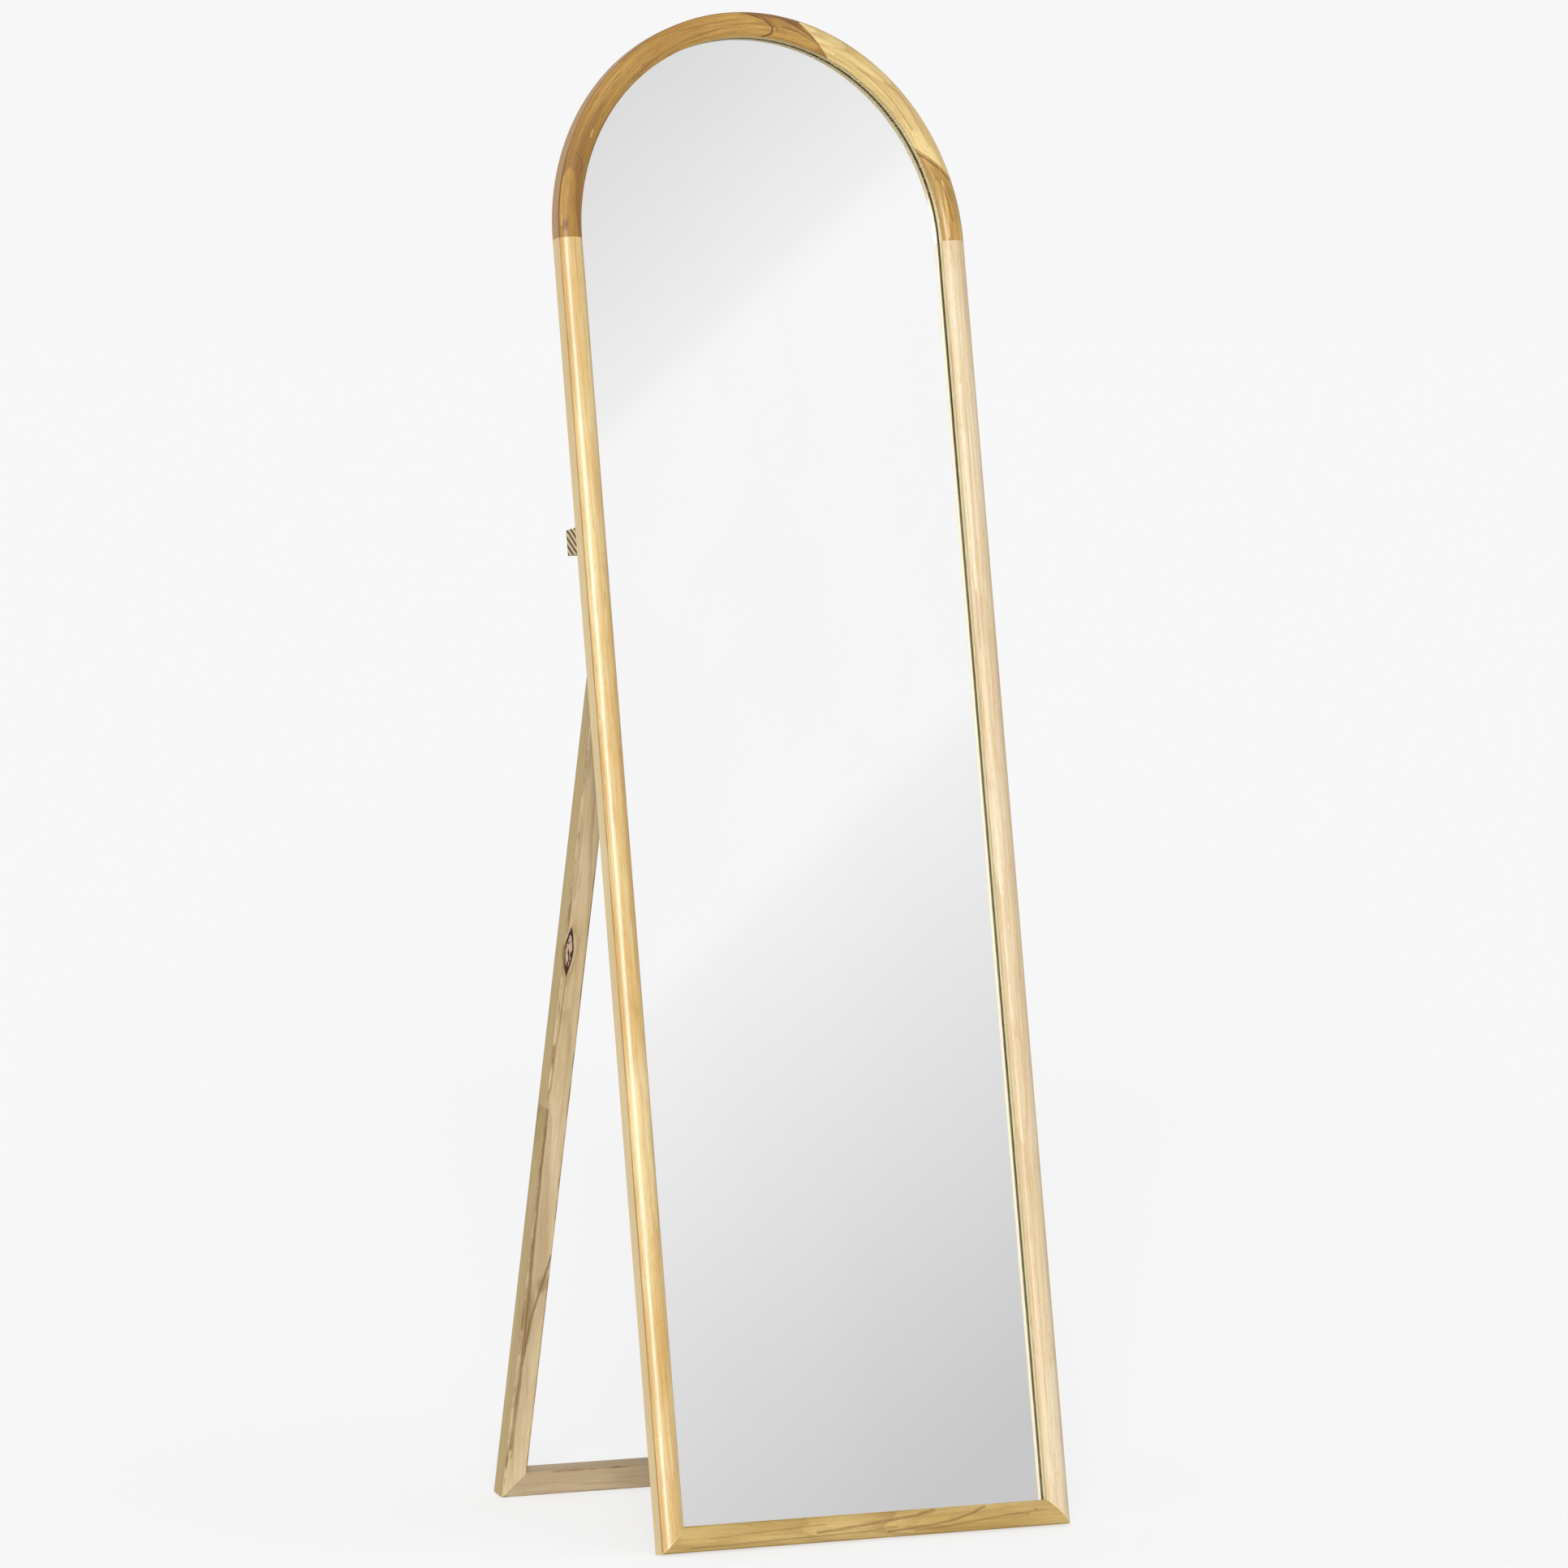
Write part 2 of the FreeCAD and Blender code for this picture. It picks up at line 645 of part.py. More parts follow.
def leaf_screws(name, screw, fixed):
    """Two screws in each leaf, from its closed face into the wood."""
    face = size["closed_gap"] / 2 * (1 if fixed else -1)
    places = []
    for _, side in SIDES:
        for x in (-LEAF_SCREW_SPREAD, LEAF_SCREW_SPREAD):
            places.append(pin_line(side, x, LEAF_SCREW_REACH, face, X_AXIS, 180 if fixed else 0))
    return copies(name, screw, places)


# ---- assembly ------------------------------------------------------------------------------------

def build_frame():
    dowels = add_node("spring_joint_dowels", spring_joint_dowels())
    nails = add_node("corner_v_nails", corner_nails())
    points = add_node("board_points", board_points())
    screw = wood_screw("rail_screw", "rail", "dim.rail_screw_head_height")
    add_node("cross_rail_screws", cross_rail_screws("cross_rail_screws", screw))
    blank = screw_blank("rail_screw_blank", "rail", "dim.rail_screw_head_height")
    rail_screw_holes = cross_rail_screws("rail_screw_holes", blank)
    hardware = group("frame_hardware", [dowels, nails, points, rail_screw_holes])
    members = [("%s_stile" % name, stile("%s_stile_bar" % name, side)) for name, side in SIDES]
    members.append(("bottom_rail", bottom_rail()))
    members.append(("arch_left_segment", arch_segment("arch_left_ring", end="upper")))
    members.append(("arch_upper_right_segment", arch_segment("arch_upper_right_ring", "upper", "lower")))
    members.append(("arch_right_segment", arch_segment("arch_right_ring", start="lower")))
    for label, member in members:
        add_node(label, cut(label, member, hardware))

    for label, front, layer in (
        ("mirror_glass", size["glass_front"], "glass"),
        ("silvered_backing_film", film_front(), "film"),
        ("backing_board", board_front(), "board"),
    ):
        add_node(label, arched_sheet(label, front, "dim.%s_thickness" % layer))
    return rail_screw_holes


def build_rail_and_hinges(rail_screw_holes):
    """Returns the holes of the screws that hold the moving leaves, to be cut out of the legs."""
    screw = wood_screw("leaf_screw", "leaf", "dim.leaf_thickness")
    add_node("fixed_leaf_screws", leaf_screws("fixed_leaf_screws", screw, True))
    add_node("moving_leaf_screws", leaf_screws("moving_leaf_screws", screw, False))
    blank = screw_blank("leaf_screw_blank", "leaf", "dim.leaf_thickness")
    rail_side = leaf_screws("fixed_leaf_screw_holes", blank, True)
    leg_side = leaf_screws("moving_leaf_screw_holes", blank, False)
    tools = group("cross_rail_tools", [rail_screw_holes, rail_side])
    add_node("cross_rail", cut("cross_rail", cross_rail(), tools))
    for name, side in SIDES:
        add_node("%s_hinge_pin" % name, hinge_pin("%s_hinge_pin" % name, side))
        for kind, fixed, holes in (("fixed", True, rail_side), ("moving", False, leg_side)):
            label = "%s_hinge_%s_leaf" % (name, kind)
            add_node(label, cut(label, hinge_leaf(label + "_blank", side, fixed), holes))
    return leg_side


def build_stand(leg_screw_holes):
    dowels = add_node("stand_corner_dowels", stand_corner_dowels())
    tools = group("stand_hardware", [dowels, leg_screw_holes])
    for name, side in SIDES:
        label = "stand_%s_leg" % name
        add_node(label, cut(label, stand_leg(label + "_bar", side), tools))
    add_node("stand_foot_rail", cut("stand_foot_rail", stand_foot_rail(), dowels))


def check_and_export():
    """Stop on a failed object or a bad shape, then write one STEP file for each sub-part."""
    doc.recompute()
    for obj in doc.Objects:
        if {"Invalid", "Error"} & set(obj.State):
            raise RuntimeError("%s failed: %s" % (obj.Name, obj.State))
    whole = FreeCAD.BoundBox()
    for label, obj in NODES.items():
        if obj.Label != label:
            raise RuntimeError("%s is labelled %s" % (label, obj.Label))
        if obj.Shape.isNull() or not obj.Shape.isValid() or not obj.Shape.Solids:
            raise RuntimeError("%s has a bad shape" % label)
        whole.add(obj.Shape.optimalBoundingBox())
    os.makedirs("parts", exist_ok=True)
    for label, obj in NODES.items():
        obj.Shape.exportStep("parts/%s.step" % label)
        print("%-26s %2d solids %10.0f mm3" % (label, len(obj.Shape.Solids), obj.Shape.Volume))
    print("nodes %d" % len(NODES))
    limits = (whole.XMin, whole.YMin, whole.ZMin, whole.XMax, whole.YMax, whole.ZMax)
    print("box", [round(limit, 2) for limit in limits])
    pin = FRAME_PLACEMENT.multVec(Vector(0, size["pin_y"], size["pin_z"]))
    print("hinge axis", round(pin.y, 3), round(pin.z, 3))
    frame_base = FRAME_PLACEMENT.multVec(Vector(0, (size["side_arris"] - size["frame_depth"]) / 2, 0))
    stand_base = STAND_PLACEMENT.multVec(Vector(0, size["bar_depth"] / 2, 0))
    print("frame base", frame_base, FRAME_PLACEMENT.Rotation.multVec(Vector(0, 0, -1)))
    print("stand base", stand_base, STAND_PLACEMENT.Rotation.multVec(Vector(0, 0, -1)))
    print("folded foot below the frame's edge", round(size["stand_pin_z"] - size["pin_z"], 2))


through_rail_holes = build_frame()
leg_top_holes = build_rail_and_hinges(through_rail_holes)
build_stand(leg_top_holes)
check_and_export()
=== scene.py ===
import json
import math

import bpy
from mathutils import Matrix, Vector


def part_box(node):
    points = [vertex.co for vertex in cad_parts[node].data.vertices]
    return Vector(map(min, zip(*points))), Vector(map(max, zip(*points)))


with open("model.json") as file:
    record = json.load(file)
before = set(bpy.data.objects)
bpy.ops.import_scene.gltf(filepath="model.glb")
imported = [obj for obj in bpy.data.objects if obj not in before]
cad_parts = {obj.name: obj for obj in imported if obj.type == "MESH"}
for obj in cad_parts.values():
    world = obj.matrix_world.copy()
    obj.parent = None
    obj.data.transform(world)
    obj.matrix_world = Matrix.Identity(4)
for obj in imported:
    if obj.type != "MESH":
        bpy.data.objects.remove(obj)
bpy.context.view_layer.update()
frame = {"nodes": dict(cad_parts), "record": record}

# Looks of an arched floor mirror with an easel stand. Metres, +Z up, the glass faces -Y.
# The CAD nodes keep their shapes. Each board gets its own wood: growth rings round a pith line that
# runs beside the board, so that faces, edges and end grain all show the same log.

mounts = {mount["name"]: mount for mount in frame["record"]["mounts"]}


def lean_of(mount):
    """How far a foot's underside is turned about X, which is how far its piece leans."""
    _, y, z = mounts[mount]["axis"]
    return math.atan2(y, -z)


FRAME_TURN = Matrix.Rotation(lean_of("frame_base"), 3, "X")
STAND_TURN = Matrix.Rotation(lean_of("stand_base"), 3, "X")
GRAIN_ALONG_X = Matrix.Rotation(math.radians(90), 3, "Y")


def turned_box(node, turn):
    """Lowest and highest corner of a CAD node in axes turned by `turn`."""
    back = turn.transposed()
    points = [back @ vertex.co for vertex in frame["nodes"][node].data.vertices]
    low = Vector([min(p[i] for p in points) for i in range(3)])
    high = Vector([max(p[i] for p in points) for i in range(3)])
    return low, high


def dress(node, material):
    for slot in frame["nodes"][node].material_slots:
        slot.material = material


def tone(red, green, blue):
    """A reflectance given as 0-255 sRGB, as the linear colour that a shader takes."""
    linear = []
    for part in (red, green, blue):
        share = part / 255
        linear.append(share / 12.92 if share <= 0.04045 else ((share + 0.055) / 1.055) ** 2.4)
    return (*linear, 1.0)


def grey(level):
    return (level, level, level, 1.0)


class Nodes:
    """Short calls for the nodes of one material."""

    def __init__(self, name):
        self.material = bpy.data.materials.new(name)
        self.material.use_nodes = True
        self.tree = self.material.node_tree
        self.tree.nodes.clear()

    def feed(self, node, inputs):
        """Link or set the inputs of a node."""
        for key, value in inputs.items():
            if isinstance(value, bpy.types.NodeSocket):
                self.tree.links.new(value, node.inputs[key])
            else:
                node.inputs[key].default_value = value

    def add(self, kind, inputs=None, **settings):
        node = self.tree.nodes.new("ShaderNode" + kind)
        for key, value in settings.items():
            setattr(node, key, value)
        self.feed(node, inputs or {})
        return node

    def math(self, operation, *values, clamp=False):
        inputs = dict(enumerate(values))
        return self.add("Math", inputs, operation=operation, use_clamp=clamp).outputs[0]

    def vector(self, operation, *values):
        inputs = dict(enumerate(values))
        return self.add("VectorMath", inputs, operation=operation).outputs["Vector"]

    def dot(self, first, second):
        return self.add("VectorMath", {0: first, 1: second}, operation="DOT_PRODUCT").outputs["Value"]

    def length(self, value):
        return self.add("VectorMath", {0: value}, operation="LENGTH").outputs["Value"]

    def split(self, value):
        return self.add("SeparateXYZ", {0: value}).outputs

    def join(self, x, y, z):
        return self.add("CombineXYZ", {0: x, 1: y, 2: z}).outputs[0]

    def upright(self, place, turn, middle=(0.0, 0.0, 0.0)):
        """A place in the row frame, in axes turned by `turn` about `middle`."""
        inputs = {"Vector": place, "Location": middle, "Rotation": turn.to_euler()}
        return self.add("Mapping", inputs, vector_type="TEXTURE").outputs[0]

    def noise(self, point, stretch, detail=2.0, roughness=0.5):
        """Noise whose features are 1 / stretch metres along each axis. Gives its two outputs."""
        scaled = self.vector("MULTIPLY", point, stretch)
        inputs = {"Vector": scaled, "Scale": 1.0, "Detail": detail, "Roughness": roughness}
        return self.add("TexNoise", inputs, noise_dimensions="3D").outputs

    def shift(self, point, stretch, reach, detail=3.0):
        """An uneven offset, up to about a quarter of `reach` either way on each axis."""
        offset = self.vector("SUBTRACT", self.noise(point, stretch, detail)["Color"], (0.5, 0.5, 0.5))
        return self.vector("MULTIPLY", offset, reach)

    def ramp(self, value, low, high, out_low, out_high, kind="LINEAR"):
        """From out_low at low to out_high at high, and level beyond."""
        inputs = {"Value": value, "From Min": low, "From Max": high, "To Min": out_low, "To Max": out_high}
        return self.add("MapRange", inputs, interpolation_type=kind).outputs[0]

    def step(self, value, low, high, out_low=0.0, out_high=1.0):
        """A smooth step from out_low at low to out_high at high."""
        return self.ramp(value, low, high, out_low, out_high, kind="SMOOTHSTEP")

    def mix(self, factor, first, second):
        """Colour `first` at factor 0 and `second` at factor 1."""
        node = self.add("Mix", data_type="RGBA", blend_type="MIX", clamp_factor=True)
        self.feed(node, {0: factor, 6: first, 7: second})
        return node.outputs[2]

    def output(self, shader):
        target = self.add("OutputMaterial")
        self.tree.links.new(shader.outputs[0], target.inputs["Surface"])
        return self.material

    def surface(self, inputs, height=None, bump=0.0):
        """The Principled shader and the output, with a bump of that many metres."""
        shader = self.add("BsdfPrincipled", inputs)
        if height is not None:
            dent = self.add("Bump", {"Height": height, "Distance": bump, "Strength": 1.0})
            self.tree.links.new(dent.outputs[0], shader.inputs["Normal"])
        return self.output(shader)


# ---- Wood --------------------------------------------------------------------------------------------
# Noise frequencies, per metre: across the face, through the board and along the grain.
DRIFT = (14.0, 14.0, 3.2)           # the trunk wanders
WOBBLE = (120.0, 120.0, 22.0)       # and its rings waver
WOBBLE_REACH = 0.0012
CLOUD = (26.0, 26.0, 6.0)
BLOTCH = (90.0, 90.0, 26.0)
STREAK = (260.0, 260.0, 2.6)
VEIN = (620.0, 620.0, 6.0)
DASH = (480.0, 480.0, 46.0)
FIBRE = (1600.0, 1600.0, 36.0)
PORE = (1000.0, 1000.0, 150.0)
RAGGED = (260.0, 260.0, 60.0)       # edges of stains, lines and knots
STAIN_FRAY = (0.0040, 0.0, 0.012)
LINE_FRAY = (0.0020, 0.0, 0.0020)
BARK = (330.0, 330.0, 130.0)
KNOT_HEART = 0.72                   # heart of a knot, as a share of its bark
KNOT_SWIRL = 3.0                    # how far round a knot the rings are bent, in knots
END_BOW = (45.0, 45.0, 45.0)        # the rings' bend across the ends of the bars
END_RING = 0.0056                   # spacing of the rings on the ends of the bars
END_SLANT = (0.74, 0.67)            # which way they are stacked, across and through
EDGE = 0.0002                       # how near a flat side counts as on it
BUMP = 0.0001
BROWN = tone(96, 60, 26)
OLIVE_BROWN = tone(86, 64, 26)
END_BROWN = tone(70, 48, 22)
KNOT_DARK = tone(48, 30, 20)
KNOT_BARK = tone(60, 38, 20)
KNOT_PINK = tone(176, 152, 138)
# Painted highlight: the pale colour painted on the inner walls beside the glass, for the light that falls
# on them.
INNER_WALL_PAINTED_HIGHLIGHT = tone(194, 180, 132)


def spot(n, point, centre, reach, edge):
    """A soft mask, 1 at `centre` and 0 at `reach` metres from it on each axis."""
    away = n.vector("DIVIDE", n.vector("SUBTRACT", point, centre), reach)
    return n.step(n.length(away), 1.0, 1.0 - edge)


def lens(n, point, centre, reach):
    """A mask shaped like a lens in the board's face, pointed at both ends along the grain."""
    away = n.vector("DIVIDE", n.vector("SUBTRACT", point, centre), reach)
    x, y, z = n.split(n.vector("ABSOLUTE", away))
    wide = n.math("MAXIMUM", x, n.math("MULTIPLY", y, 0.8))
    return n.step(n.math("MULTIPLY_ADD", z, z, wide), 1.0, 0.86)


def line(n, point, corners, width):
    """A soft mask along a bent line in the board's face. corners: pairs of across and along."""
    flat = n.vector("MULTIPLY", point, (1.0, 0.0, 1.0))
    mask = 0.0
    for (x, z), (next_x, next_z) in zip(corners, corners[1:]):
        span = Vector((next_x - x, 0.0, next_z - z))
        away = n.vector("SUBTRACT", flat, (x, 0.0, z))
        share = n.math("DIVIDE", n.dot(away, span), span.length_squared, clamp=True)
        nearest = n.add("VectorMath", {0: span, "Scale": share}, operation="SCALE").outputs["Vector"]
        near = n.step(n.length(n.vector("SUBTRACT", away, nearest)), width, 0.3 * width)
        mask = n.math("MAXIMUM", near, mask)
    return mask


def bent(n, point, radius):
    """Coordinates that follow an arch about the Y axis: across is outwards, along is the arc's length."""
    x, y, z = n.split(point)
    across = n.math("SUBTRACT", n.length(n.join(x, 0.0, z)), radius)
    along = n.math("MULTIPLY", n.math("ARCTAN2", z, x), radius)
    return n.join(across, y, along)


def late_wood(n, grain, ring, pith, taper, figure, swirl):
    """How far a point is in the dark late wood of its growth ring, 0 to 1."""
    wander = n.vector("ADD", n.shift(grain, DRIFT, (figure, figure, 0.0)),
                      n.shift(grain, WOBBLE, (WOBBLE_REACH, WOBBLE_REACH, 0.0)))
    x, y, z = n.split(n.vector("ADD", grain, wander))
    from_pith = n.length(n.join(n.math("SUBTRACT", x, pith[0]), n.math("SUBTRACT", y, pith[1]), 0.0))
    age = n.math("MULTIPLY_ADD", z, taper, from_pith)
    if swirl:
        age = n.math("MULTIPLY_ADD", swirl, 1.6 * ring, age)
    rings = n.math("DIVIDE", age, ring)
    slow = {"W": n.math("MULTIPLY", rings, 0.45), "Scale": 1.0}
    uneven = n.add("TexNoise", slow, noise_dimensions="1D").outputs[0]
    rings = n.math("MULTIPLY_ADD", uneven, 1.6, rings)
    year = n.math("FRACT", rings)
    late = n.math("MULTIPLY", n.step(year, 0.35, 0.92), n.step(year, 1.0, 0.95))
    strength = n.add("TexWhiteNoise", {"W": n.math("FLOOR", rings)}, noise_dimensions="1D").outputs["Value"]
    return n.math("MULTIPLY", late, n.math("MULTIPLY_ADD", strength, 0.8, 0.2))


def moulding_edges(n, colour, local, moulding, side_tone, inner, blotch, deep):
    """The flat sides of a moulding, the inner wall beside the glass painted pale as a painted highlight,
    and the quirk beside each arris darkened by painted shade with stain.
    """
    half, depth = moulding
    local_x, local_y, _ = n.split(local)
    across = n.math("ABSOLUTE", local_x)
    colour = n.mix(n.step(across, half - 2 * EDGE, half - EDGE, 0.0, 0.6), colour, side_tone)
    # The inner wall beside the glass is painted pale: a painted highlight.
    inward = n.math("MULTIPLY", local_x, inner)
    colour = n.mix(n.step(inward, half - 2 * EDGE, half - EDGE, 0.0, 0.85), colour, INNER_WALL_PAINTED_HIGHLIGHT)
    # The quirk beside each arris is darkened: painted shade in the recess, with stain that gathers there.
    beside = n.join(n.math("SUBTRACT", across, half - QUIRK / 2), n.math("SUBTRACT", local_y, depth), 0.0)
    quirk_shade_and_stain = n.step(n.length(beside), 0.0011, 0.0005, 0.0, 0.6)
    return n.mix(n.math("MULTIPLY", quirk_shade_and_stain, n.step(blotch, 0.3, 0.6, 0.55, 1.0)), colour, deep)


def end_grain(n, colour, end, local, pale):
    """Slanting dark rings on the ends of a square bar."""
    local_x, local_y, _ = n.split(local)
    bow = n.noise(local, END_BOW)[0]
    slant = n.math("MULTIPLY_ADD", local_x, END_SLANT[0], n.math("MULTIPLY", local_y, END_SLANT[1]))
    layer = n.math("FRACT", n.math("MULTIPLY_ADD", bow, 0.6, n.math("DIVIDE", slant, END_RING)))
    stripe = n.math("MULTIPLY", n.step(layer, 0.40, 0.55), n.step(layer, 1.0, 0.88))
    colour = n.mix(n.math("MULTIPLY", end, 0.25), colour, pale)
    return n.mix(n.math("MULTIPLY", end, stripe), colour, END_BROWN)


def painted_edge_shade(n, colour, local, bar, blotch, deep):
    """The long edges of a square bar, darkened in places: painted shade along the eased arrises."""
    local_x, local_y, _ = n.split(local)
    share_x = n.math("DIVIDE", n.math("ABSOLUTE", local_x), bar[0])
    share_y = n.math("DIVIDE", n.math("ABSOLUTE", local_y), bar[1])
    edge = n.step(n.math("ADD", share_x, share_y), 1.80, 1.89)
    return n.mix(n.math("MULTIPLY", edge, n.step(blotch, 0.40, 0.62, 0.12, 0.85)), colour, deep)


def mitre_line(n, colour, local, mitre, pale):
    """The pale line where a mitre is glued."""
    half_length, slope, both_ends = mitre
    local_x, _, local_z = n.split(local)
    reach = n.math("ABSOLUTE", local_z) if both_ends else n.math("MULTIPLY", local_z, -1.0)
    run = n.math("MULTIPLY_ADD", local_x, slope, n.math("SUBTRACT", half_length, reach))
    return n.mix(n.step(run, 0.0011, 0.0003, 0.0, 0.7), colour, pale)


def wood(name, turn, middle, tones, seed, ring=0.0035, pith=(0.06, 0.09), taper=0.02, contrast=0.5,
         figure=0.012, arch_radius=None, stains=(), lines=(), moulding=None, bar=None, knot=None,
         mitre=None, side_tone=None, polish=0.24, gloss_spread=0.22, busy=1.0, inner=-1.0):
    """One board. Grain runs along the local Z axis through `middle`; X is across the face, Y through it.

    tones: pale early wood, body and dark late wood. seed: where along a log it was cut. ring: ring
    width. pith: where the pith line is, across and through. taper: how fast rings run out of the face.
    contrast: of the rings. figure: how far the trunk wanders. arch_radius: of a board that is bent.
    stains: (centre, reach, strength). lines: (corners, width, strength), pale if strength is below 0.
    moulding: half width of the face, and depth of its quirk. bar: half sizes of a square bar.
    knot: (centre, reach) of a bark-edged knot. mitre: half length on the board's middle line, slope of
    the cut, and whether both ends have one. side_tone: colour that the flat sides tend to.
    polish: weight of the lacquer. gloss_spread: its roughness, which widens the highlight.
    busy: how strong the streaks and flecks are. inner: which way along X the glass lies.
    """
    pale, body, dark = tones
    n = Nodes(name)
    place = n.add("TexCoord").outputs
    local = n.upright(place["Object"], turn, middle)
    if arch_radius:
        local = bent(n, local, arch_radius)
    grain = n.vector("ADD", local, (0.0, 0.0, seed))
    swirl = None
    if knot:
        knot_centre, knot_reach = knot
        swirl = spot(n, local, knot_centre, Vector(knot_reach) * KNOT_SWIRL, edge=1.0)
    late = late_wood(n, grain, ring, pith, taper, figure, swirl)

    cloud = n.noise(grain, CLOUD, detail=4.0)[0]
    blotch = n.noise(grain, BLOTCH, detail=4.0, roughness=0.65)[0]
    streak = n.noise(grain, STREAK, detail=5.0, roughness=0.65)[0]
    vein = n.noise(grain, VEIN, detail=3.0, roughness=0.6)[0]
    dash = n.step(n.noise(grain, DASH)[0], 0.62, 0.74)
    fibre = n.noise(grain, FIBRE, detail=3.0, roughness=0.7)[0]
    pore = n.step(n.noise(grain, PORE, detail=1.0)[0], 0.64, 0.71)
    layers = (
        (n.math("MULTIPLY", late, contrast), dark),
        (n.step(streak, 0.50, 0.72, 0.0, 0.50 * busy), dark),
        (n.step(streak, 0.46, 0.26, 0.0, 0.50), pale),
        (n.step(blotch, 0.50, 0.75, 0.0, 0.32 * busy), dark),
        (n.step(vein, 0.55, 0.68, 0.0, 0.55 * busy), dark),
        (n.step(fibre, 0.35, 0.75, 0.0, 0.26), dark),
        (n.math("MULTIPLY", pore, 0.36 * busy), dark),
        (n.math("MULTIPLY", dash, 0.42 * busy), dark),
    )
    colour = n.mix(n.step(cloud, 0.35, 0.68), pale, body)
    for share, shade in layers:
        colour = n.mix(share, colour, shade)

    deep = n.mix(0.5, dark, OLIVE_BROWN if bar else BROWN)
    ragged = n.shift(grain, RAGGED, (1.0, 1.0, 1.0))
    frayed = n.vector("MULTIPLY_ADD", ragged, STAIN_FRAY, local)
    for centre, reach, strength in stains:
        mask = n.math("MULTIPLY", spot(n, frayed, centre, reach, edge=0.7), strength)
        colour = n.mix(mask, colour, deep)
    wavering = n.vector("MULTIPLY_ADD", ragged, LINE_FRAY, local)
    broken = n.step(blotch, 0.30, 0.55, 0.7, 1.0)
    for corners, width, strength in lines:
        mask = n.math("MULTIPLY", line(n, wavering, corners, width), abs(strength))
        colour = n.mix(n.math("MULTIPLY", mask, broken), colour, deep if strength > 0 else pale)
    if knot:
        crumb = n.noise(grain, BARK, detail=4.0)[0]
        heart = lens(n, wavering, knot_centre, Vector(knot_reach) * KNOT_HEART)
        colour = n.mix(lens(n, wavering, knot_centre, knot_reach), colour, KNOT_BARK)
        colour = n.mix(heart, colour, n.mix(n.step(crumb, 0.43, 0.52), KNOT_DARK, KNOT_PINK))

    if not arch_radius:
        facing = n.math("ABSOLUTE", n.dot(place["Normal"], turn @ Vector((0, 0, 1))))
        end = n.step(facing, 0.72, 0.9)
        colour = n.mix(n.math("MULTIPLY", end, 0.30 if bar else 0.55), colour, dark)
    if bar:
        colour = end_grain(n, colour, end, local, pale)
    if bar and side_tone:
        sideways = n.math("ABSOLUTE", n.split(place["Normal"])[0])
        colour = n.mix(n.step(sideways, 0.8, 0.95, 0.0, 0.6), colour, side_tone)
    if moulding:
        colour = moulding_edges(n, colour, local, moulding, side_tone, inner, blotch, deep)
    if bar:
        # Painted shade along the long edges of the bars.
        colour = painted_edge_shade(n, colour, local, bar, blotch, deep)
    if mitre:
        colour = mitre_line(n, colour, local, mitre, pale)

    height = n.math("MULTIPLY_ADD", fibre, 0.6, n.math("MULTIPLY", late, 0.3))
    height = n.math("SUBTRACT", height, n.math("MULTIPLY", pore, 0.5))
    inputs = {
        "Base Color": colour,
        "Roughness": n.step(fibre, 0.3, 0.8, 0.56, 0.70),
        "Specular IOR Level": 0.30,
        "Coat Weight": polish,
        "Coat Roughness": gloss_spread,
        "Coat IOR": 1.5,
    }
    return n.surface(inputs, height, BUMP)


# ---- Wood of the frame -------------------------------------------------------------------------------
PALE_WOOD = (tone(190, 171, 122), tone(173, 142, 82), tone(150, 106, 42))
CREAM_WOOD = (tone(190, 177, 150), tone(181, 163, 130), tone(156, 123, 80))
TAN_WOOD = (tone(163, 127, 62), tone(141, 104, 42), tone(92, 57, 20))
YELLOW_WOOD = (tone(203, 185, 131), tone(184, 162, 107), tone(146, 112, 58))
OLIVE_WOOD = (tone(180, 146, 80), tone(156, 122, 56), tone(102, 68, 24))
RAIL_WOOD = (tone(173, 149, 92), tone(154, 126, 64), tone(106, 74, 28))
GREY_WOOD = (tone(196, 180, 147), tone(184, 165, 129), tone(130, 103, 60))
FOOT_WOOD = (tone(172, 156, 126), tone(158, 139, 110), tone(126, 104, 74))
WALL_TONE = tone(190, 172, 130)
ARCH_WALL_TONE = tone(156, 128, 100)
LEG_SIDE_TONE = tone(138, 117, 66)
ARRIS = 0.0065              # crown of the moulding to the arris of its flat side
QUIRK = 0.0008              # small step beside that arris

stile_low, stile_high = turned_box("left_stile", FRAME_TURN)
SPRING_HEIGHT = stile_high.z
STILE_HALF = (stile_high.z - stile_low.z) / 2
FACE_WIDTH = stile_high.x - stile_low.x
FRAME_DEPTH = stile_high.y - stile_low.y
ARCH_RADIUS = -stile_low.x - FACE_WIDTH / 2
FRAME_MID_DEPTH = (stile_low.y + stile_high.y) / 2
MOULDING = (FACE_WIDTH / 2, ARRIS - QUIRK / 2 - FRAME_DEPTH / 2)


def frame_point(x, z):
    """Row-frame point at x and z of the upright frame, halfway through its depth."""
    return FRAME_TURN @ Vector((x, FRAME_MID_DEPTH, z))


def on_arch(x, z):
    """Across and along, on the arch's boards, of a point in millimetres from the arch's centre."""
    return math.hypot(x, z) / 1000 - ARCH_RADIUS, math.atan2(z, x) * ARCH_RADIUS


def arch_stain(x, z, across, along, strength):
    """A stain on the front of an arch board."""
    place_across, place_along = on_arch(x, z)
    return (place_across, -FRAME_DEPTH / 2, place_along), (across, FRAME_DEPTH, along), strength


def arch_line(points, width, strength):
    return [on_arch(x, z) for x, z in points], width, strength


